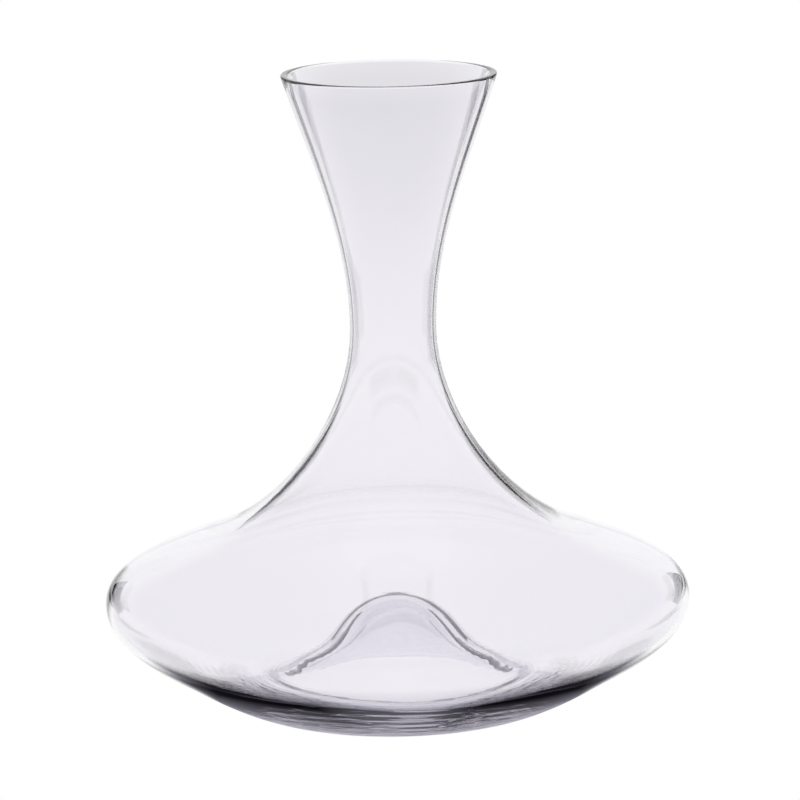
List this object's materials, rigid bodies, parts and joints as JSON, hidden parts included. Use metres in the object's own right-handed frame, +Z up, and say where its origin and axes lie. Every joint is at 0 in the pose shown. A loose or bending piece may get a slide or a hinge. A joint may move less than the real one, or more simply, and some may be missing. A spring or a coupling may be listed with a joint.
{
  "type": "wine decanter",
  "caption": "Clear glass wine decanter: wide flat bowl, waisted neck flaring to an open mouth, and a punt pushed up in the base.",
  "frame": {"origin": "centre of the foot ring, on the surface it stands on", "axes": "+Z up along the vessel's axis of revolution, towards the mouth; X and Y are alike"},
  "size_m": [0.22, 0.22, 0.236],
  "materials": {
    "clear_glass": "clear, fire polished"
  },
  "bodies": {
    "root": {"mouth": "clear_glass", "neck": "clear_glass", "throat": "clear_glass", "shoulder": "clear_glass", "bowl_top": "clear_glass", "bowl_bottom": "clear_glass", "punt": "clear_glass"}
  },
  "joints": []
}
